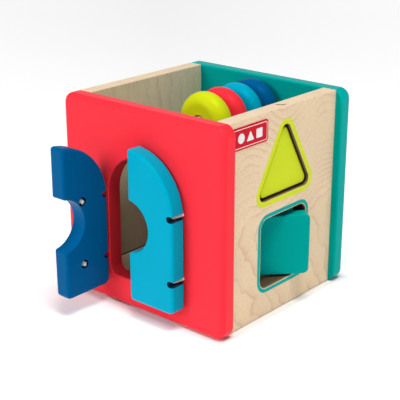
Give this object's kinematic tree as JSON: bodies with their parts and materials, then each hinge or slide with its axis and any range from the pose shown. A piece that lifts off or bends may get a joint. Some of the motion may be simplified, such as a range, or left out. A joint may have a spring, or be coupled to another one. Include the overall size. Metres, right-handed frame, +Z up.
{
  "type": "shape sorter",
  "caption": "Open-topped wooden toy box with a pair of cord-hinged doors, thick discs on a dowel, and shape holes with blocks to post through them.",
  "frame": {"origin": "middle of the flat underside, on the surface that the box stands on", "axes": "+Z up; the doorway with its two doors is on the -Y side; the wooden side with the two shape holes is on the +X side"},
  "size_m": [0.1547, 0.1876, 0.15],
  "materials": {
    "red_paint": "satin paint on a smooth board",
    "teal_paint": "satin paint on a smooth board",
    "cyan_paint": "satin paint on a smooth board",
    "blue_paint": "satin paint on a smooth board",
    "lime_paint": "satin paint on smooth wood",
    "bare_wood": "fine sanded pale plywood with a faint pinkish grain, clear matt lacquer",
    "dowel_wood": "sanded straight-grained dowel",
    "elastic_cord": "braided light grey elastic",
    "label_film": "plain red printed sticker"
  },
  "bodies": {
    "box": {"front_panel": "red_paint", "rear_panel": "teal_paint", "left_panel": "bare_wood", "right_panel": "bare_wood", "floor_panel": "bare_wood", "axle_dowel": "dowel_wood", "label": "label_film", "front_left_pin_1": "dowel_wood", "front_left_pin_2": "dowel_wood", "front_left_pin_3": "dowel_wood", "front_right_pin_1": "dowel_wood", "front_right_pin_2": "dowel_wood", "front_right_pin_3": "dowel_wood", "rear_left_pin_1": "dowel_wood", "rear_left_pin_2": "dowel_wood", "rear_left_pin_3": "dowel_wood", "rear_right_pin_1": "dowel_wood", "rear_right_pin_2": "dowel_wood", "rear_right_pin_3": "dowel_wood", "front_floor_pin_1": "dowel_wood", "front_floor_pin_2": "dowel_wood", "rear_floor_pin_1": "dowel_wood", "rear_floor_pin_2": "dowel_wood", "left_upper_cord_panel_end": "elastic_cord", "left_lower_cord_panel_end": "elastic_cord", "right_upper_cord_panel_end": "elastic_cord", "right_lower_cord_panel_end": "elastic_cord"},
    "left_door": {"left_door": "blue_paint", "left_upper_cord_door_end": "elastic_cord", "left_lower_cord_door_end": "elastic_cord"},
    "right_door": {"right_door": "cyan_paint", "right_upper_cord_door_end": "elastic_cord", "right_lower_cord_door_end": "elastic_cord"},
    "lime_disc": {"lime_disc": "lime_paint"},
    "red_disc": {"red_disc": "red_paint"},
    "cyan_disc": {"cyan_disc": "cyan_paint"},
    "blue_disc": {"blue_disc": "blue_paint"},
    "triangle_block": {"triangle_block": "lime_paint"},
    "square_block": {"square_block": "teal_paint"}
  },
  "joints": [
    {"name": "left_door_hinge", "type": "hinge", "parent": "box", "child": "left_door", "pos_m": [-0.036, -0.07925, 0], "axis": [0, 0, 1], "range_deg": [-88, 90], "deforming": ["left_upper_cord_panel_end", "left_lower_cord_panel_end"]},
    {"name": "right_door_hinge", "type": "hinge", "parent": "box", "child": "right_door", "pos_m": [0.03705, -0.07925, 0], "axis": [0, 0, 1], "range_deg": [0, 178], "deforming": ["right_upper_cord_panel_end", "right_lower_cord_panel_end"]},
    {"name": "lime_disc_spin", "type": "hinge", "parent": "box", "child": "lime_disc", "pos_m": [0, 0, 0.12675], "axis": [0, 1, 0], "continuous": true},
    {"name": "red_disc_spin", "type": "hinge", "parent": "box", "child": "red_disc", "pos_m": [0, 0, 0.12675], "axis": [0, 1, 0], "continuous": true},
    {"name": "cyan_disc_spin", "type": "hinge", "parent": "box", "child": "cyan_disc", "pos_m": [0, 0, 0.12675], "axis": [0, 1, 0], "continuous": true},
    {"name": "blue_disc_spin", "type": "hinge", "parent": "box", "child": "blue_disc", "pos_m": [0, 0, 0.12675], "axis": [0, 1, 0], "continuous": true},
    {"name": "triangle_block_slide", "type": "slide", "parent": "box", "child": "triangle_block", "axis": [1, 0, 0], "range_m": [-0.014, 0.016]},
    {"name": "square_block_slide", "type": "slide", "parent": "box", "child": "square_block", "axis": [1, 0, 0], "range_m": [-0.024, 0.036]}
  ]
}
